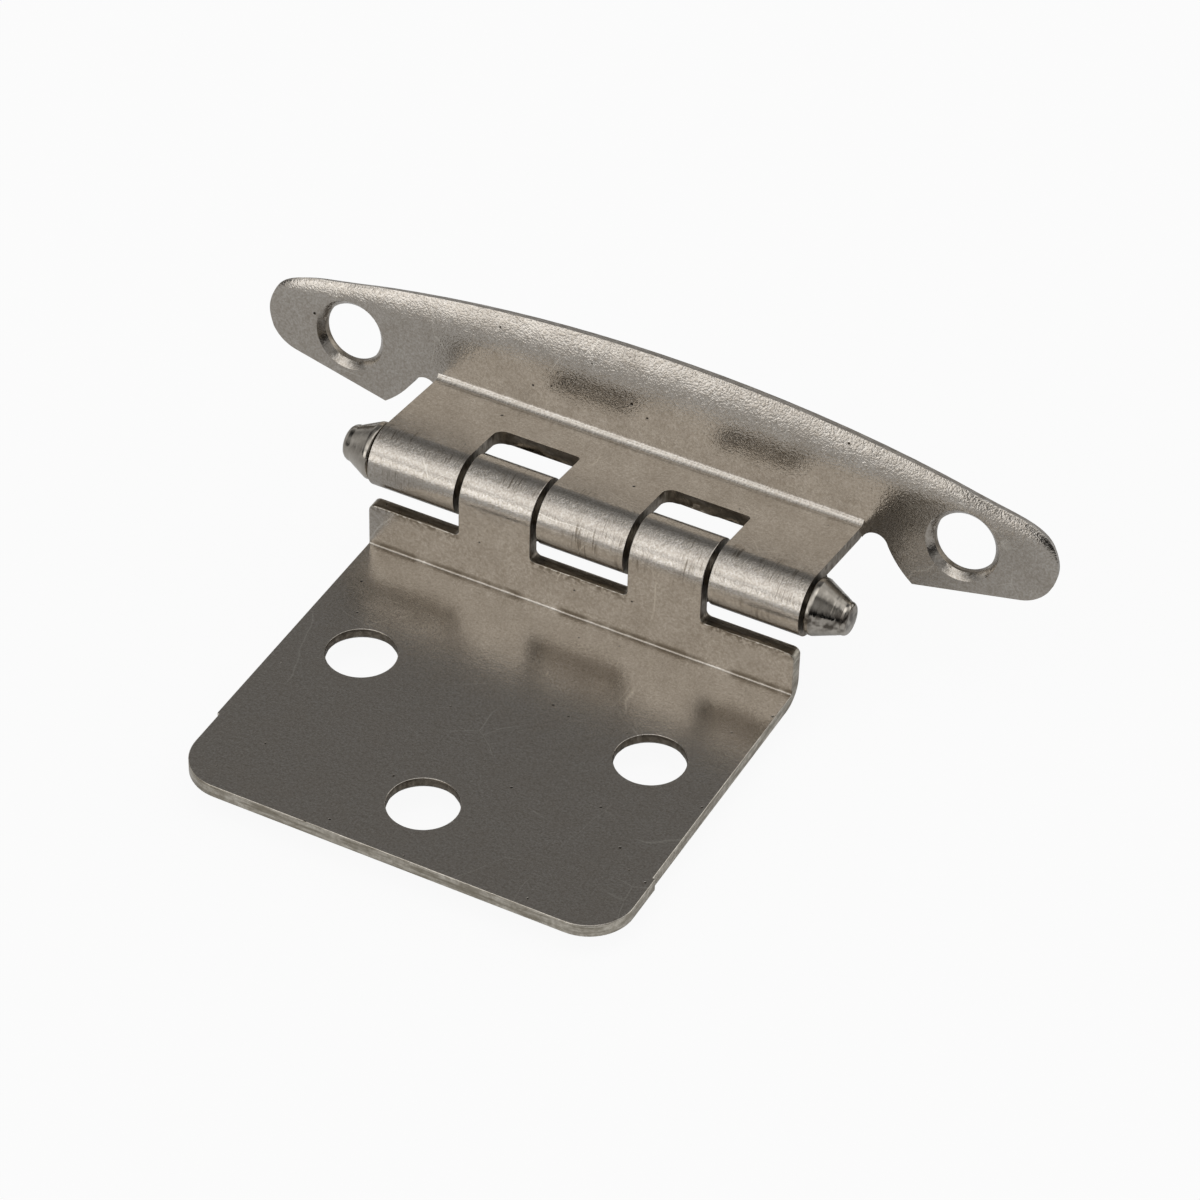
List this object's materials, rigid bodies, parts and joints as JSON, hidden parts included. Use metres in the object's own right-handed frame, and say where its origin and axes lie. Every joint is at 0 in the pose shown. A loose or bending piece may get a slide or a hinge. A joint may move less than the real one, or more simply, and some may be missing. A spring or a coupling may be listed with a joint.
{
  "type": "cabinet door hinge",
  "caption": "Partly open cabinet door hinge: a flat wing for the door and a folded, crescent-shaped wing for the face frame, rolled round a plain pin with turned tips.",
  "frame": {"origin": "midway between the two rear screw holes of the door wing, on the face that lies on the door", "axes": "+X along the pin and the longest side, +Y towards the frame wing, +Z out of the door wing's plate into the door; the door wing lies level and the frame wing stands open as in the picture"},
  "size_m": [0.0702, 0.045, 0.0182],
  "materials": {
    "door_wing_nickel": "satin nickel plate on stamped steel",
    "frame_wing_nickel": "satin nickel plate on stamped steel",
    "hinge_pin_nickel": "drawn steel rod, satin nickel plate",
    "left_tip_nickel": "turned steel, satin nickel plate",
    "right_tip_nickel": "turned steel, satin nickel plate, turning marks left"
  },
  "bodies": {
    "door_wing": {"door_wing": "door_wing_nickel"},
    "frame_wing": {"frame_wing": "frame_wing_nickel", "hinge_pin": "hinge_pin_nickel", "left_tip": "left_tip_nickel", "right_tip": "right_tip_nickel"}
  },
  "joints": [
    {"name": "hinge_pin_turn", "type": "hinge", "parent": "door_wing", "child": "frame_wing", "pos_m": [0, 0.01465, 0.00735], "axis": [1, 0, 0], "range_deg": [-82.7, 167.3]}
  ]
}
